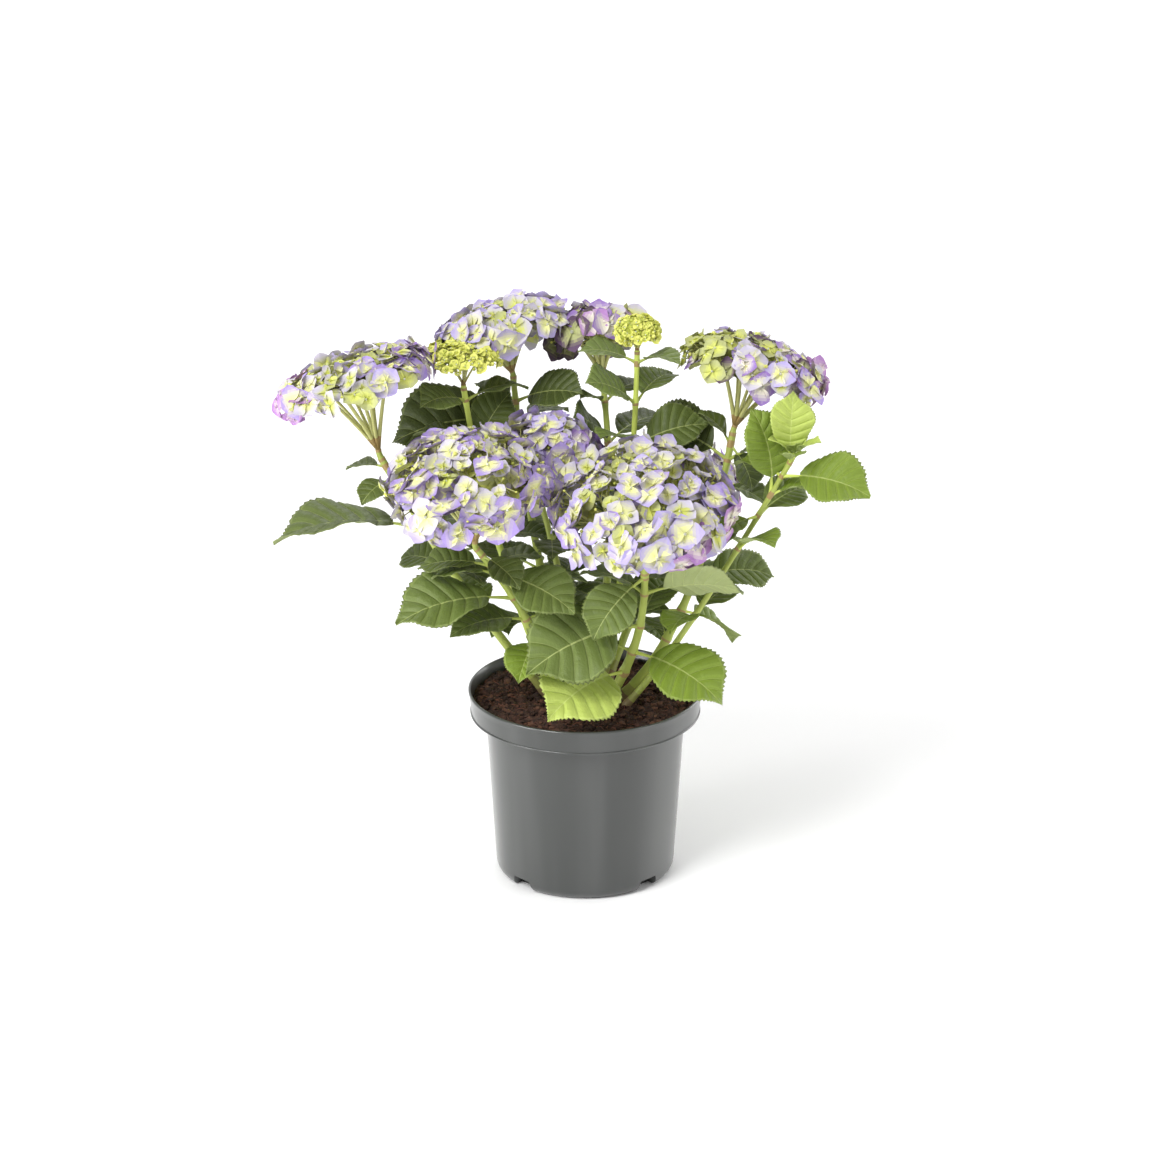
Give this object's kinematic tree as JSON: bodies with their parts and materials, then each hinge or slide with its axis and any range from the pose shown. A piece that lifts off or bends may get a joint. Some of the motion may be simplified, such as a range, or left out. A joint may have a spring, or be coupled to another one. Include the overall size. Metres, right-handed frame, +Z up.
{
  "type": "hydrangea shrub in a pot",
  "caption": "Mophead hydrangea in a tapered plastic nursery pot: leafy canes carrying round flower heads, standing on the pot's flat underside.",
  "frame": {"origin": "centre of the pot's flat underside", "axes": "+Z up along the pot's axis, -Y towards the front of the plant, +X to its right seen from the front"},
  "size_m": [0.5714, 0.3935, 0.5649],
  "materials": {
    "pot": "dark grey semi-gloss polypropylene",
    "soil": "matt dark brown peat crumb",
    "stems": "smooth green young wood with brown nodes",
    "leaves": "mid to dark green leaves, soft sheen",
    "blossom": "cream and lilac petals, soft matt"
  },
  "bodies": {
    "root": {"pot": "pot", "soil": "soil", "stem_front_left": "stems", "leaves_front_left": "leaves", "bloom_front_left": "blossom", "stem_front_right": "stems", "leaves_front_right": "leaves", "bloom_front_right": "blossom", "stem_centre": "stems", "leaves_centre": "leaves", "bloom_centre": "blossom", "stem_left": "stems", "leaves_left": "leaves", "bloom_left": "blossom", "stem_right": "stems", "leaves_right": "leaves", "bloom_right": "blossom", "stem_back_left": "stems", "leaves_back_left": "leaves", "bloom_back_left": "blossom", "stem_back": "stems", "leaves_back": "leaves", "bloom_back": "blossom", "stem_bud_left": "stems", "leaves_bud_left": "leaves", "bloom_bud_left": "blossom", "stem_bud_right": "stems", "leaves_bud_right": "leaves", "bloom_bud_right": "blossom", "stem_young_right": "stems", "leaves_young_right": "leaves", "stem_rear_left": "stems", "leaves_rear_left": "leaves", "bloom_rear_left": "blossom", "stem_rear_right": "stems", "leaves_rear_right": "leaves", "bloom_rear_right": "blossom"}
  },
  "joints": []
}
